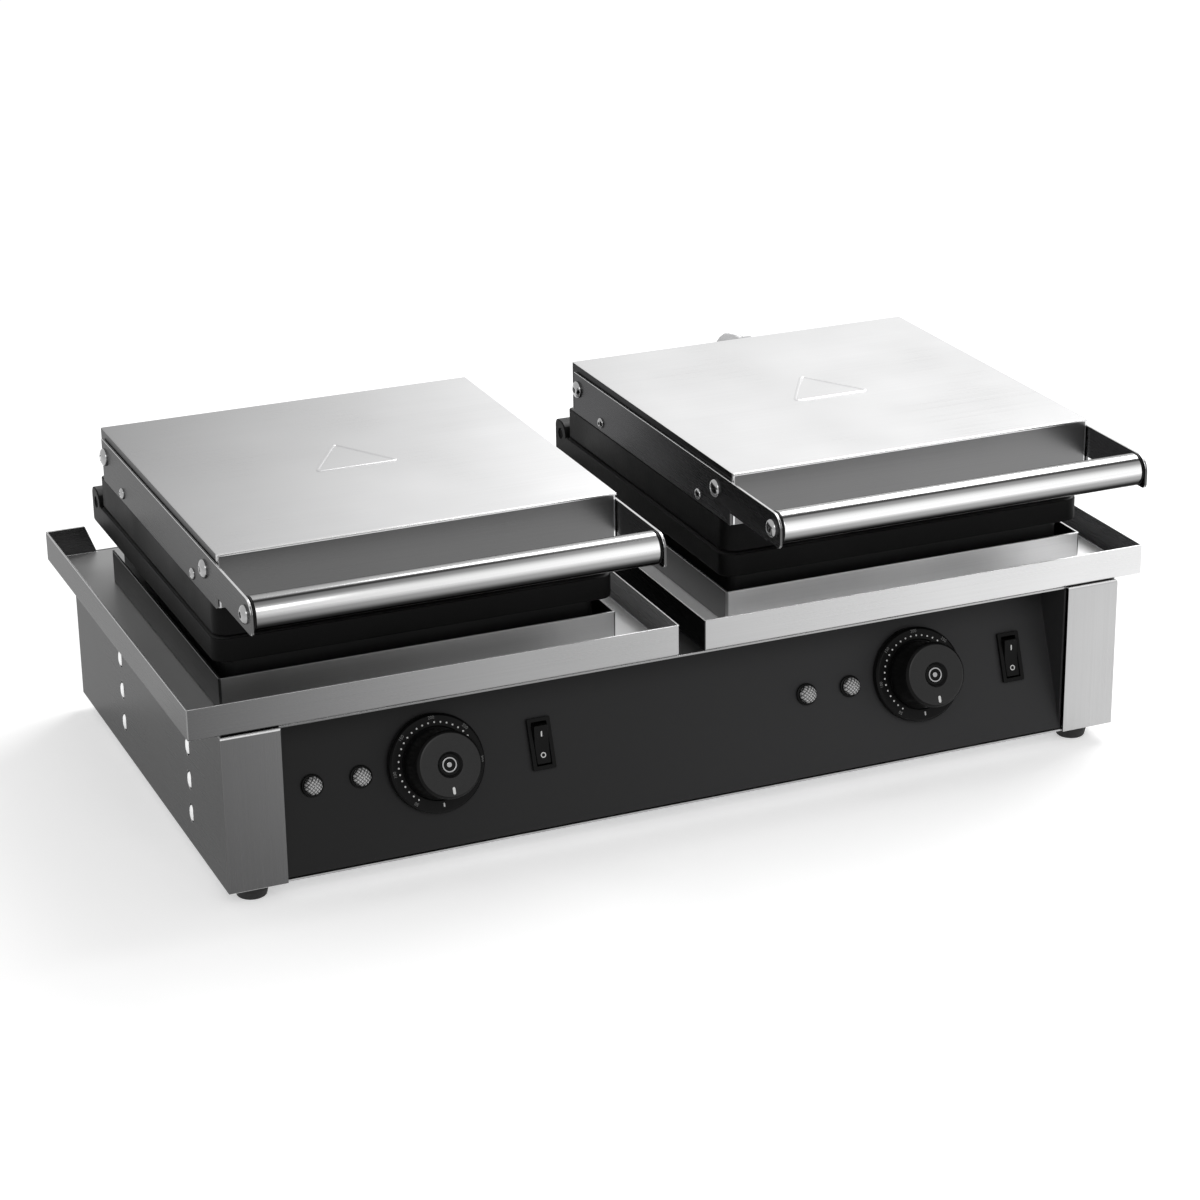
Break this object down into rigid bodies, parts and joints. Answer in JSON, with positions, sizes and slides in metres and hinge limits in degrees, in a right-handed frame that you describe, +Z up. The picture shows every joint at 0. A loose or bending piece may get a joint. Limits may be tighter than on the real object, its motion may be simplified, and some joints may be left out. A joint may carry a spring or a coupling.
{
  "type": "belgian_waffle_maker",
  "caption": "Stainless countertop double waffle maker with hinged cast iron presses, drip trays, front handles and dials on a sloping black panel.",
  "frame": {"origin": "On the worktop, under the middle of the part's bounding box.", "axes": "+X is to the right of a person who faces the control panel, +Y points away from them to the back, +Z is up."},
  "size_m": [0.5944, 0.3702, 0.2],
  "materials": {
    "stainless": "satin",
    "polished_steel": "polished",
    "zinc_steel": "satin",
    "heater_sheath": "dull",
    "cast_iron": "satin",
    "black_paint": "satin",
    "black_plastic": "satin",
    "lamp_lens": "gloss",
    "foot_rubber": "matte"
  },
  "bodies": {
    "root": {"cabinet_shell": "stainless", "base_plate": "zinc_steel", "foot_front_left": "foot_rubber", "foot_front_right": "foot_rubber", "foot_rear_left": "foot_rubber", "foot_rear_right": "foot_rubber", "cable_gland": "black_plastic", "control_panel": "black_paint", "drip_tray_left": "stainless", "collar_left": "stainless", "heater_pan_left": "black_paint", "lower_heater_left": "heater_sheath", "lower_plate_left": "cast_iron", "hinge_pin_left": "zinc_steel", "conduit_left": "zinc_steel", "conduit_nut_base_left": "zinc_steel", "dial_plate_left": "black_plastic", "thermostat_left": "zinc_steel", "power_lamp_left": "lamp_lens", "heating_lamp_left": "lamp_lens", "switch_bezel_left": "black_plastic", "drip_tray_right": "stainless", "collar_right": "stainless", "heater_pan_right": "black_paint", "lower_heater_right": "heater_sheath", "lower_plate_right": "cast_iron", "hinge_pin_right": "zinc_steel", "conduit_right": "zinc_steel", "conduit_nut_base_right": "zinc_steel", "dial_plate_right": "black_plastic", "thermostat_right": "zinc_steel", "power_lamp_right": "lamp_lens", "heating_lamp_right": "lamp_lens", "switch_bezel_right": "black_plastic"},
    "lid_left": {"upper_plate_left": "cast_iron", "upper_heater_left": "heater_sheath", "lid_cover_left": "stainless", "lid_arm_outer_left": "stainless", "lid_arm_inner_left": "stainless", "handle_bush_outer_left": "black_plastic", "handle_bush_inner_left": "black_plastic", "handle_screw_outer_left": "polished_steel", "handle_screw_inner_left": "polished_steel", "handle_tube_left": "polished_steel", "conduit_nut_lid_left": "zinc_steel"},
    "knob_left": {"knob_left": "black_plastic"},
    "rocker_left": {"switch_rocker_left": "black_plastic"},
    "lid_right": {"upper_plate_right": "cast_iron", "upper_heater_right": "heater_sheath", "lid_cover_right": "stainless", "lid_arm_outer_right": "stainless", "lid_arm_inner_right": "stainless", "handle_bush_outer_right": "black_plastic", "handle_bush_inner_right": "black_plastic", "handle_screw_outer_right": "polished_steel", "handle_screw_inner_right": "polished_steel", "handle_tube_right": "polished_steel", "conduit_nut_lid_right": "zinc_steel"},
    "knob_right": {"knob_right": "black_plastic"},
    "rocker_right": {"switch_rocker_right": "black_plastic"}
  },
  "joints": [
    {"name": "lid_left_hinge", "type": "hinge", "parent": "root", "child": "lid_left", "pos_m": [-0.1525, 0.13335, 0.1475], "axis": [-1, 0, 0], "range_deg": [0, 97], "deforming": ["conduit_left"]},
    {"name": "knob_left_turn", "type": "hinge", "parent": "root", "child": "knob_left", "pos_m": [-0.15149, -0.12645, 0.05827], "axis": [0, 0.9397, -0.342], "range_deg": [0, 270]},
    {"name": "rocker_left_tip", "type": "hinge", "parent": "root", "child": "rocker_left", "pos_m": [-0.0875, -0.12645, 0.05827], "axis": [-1, 0, 0], "range_deg": [0, 18]},
    {"name": "lid_right_hinge", "type": "hinge", "parent": "root", "child": "lid_right", "pos_m": [0.1525, 0.13335, 0.1475], "axis": [-1, 0, 0], "range_deg": [0, 97], "deforming": ["conduit_right"]},
    {"name": "knob_right_turn", "type": "hinge", "parent": "root", "child": "knob_right", "pos_m": [0.15351, -0.12645, 0.05827], "axis": [0, 0.9397, -0.342], "range_deg": [0, 270]},
    {"name": "rocker_right_tip", "type": "hinge", "parent": "root", "child": "rocker_right", "pos_m": [0.21749, -0.12645, 0.05827], "axis": [-1, 0, 0], "range_deg": [0, 18]}
  ]
}
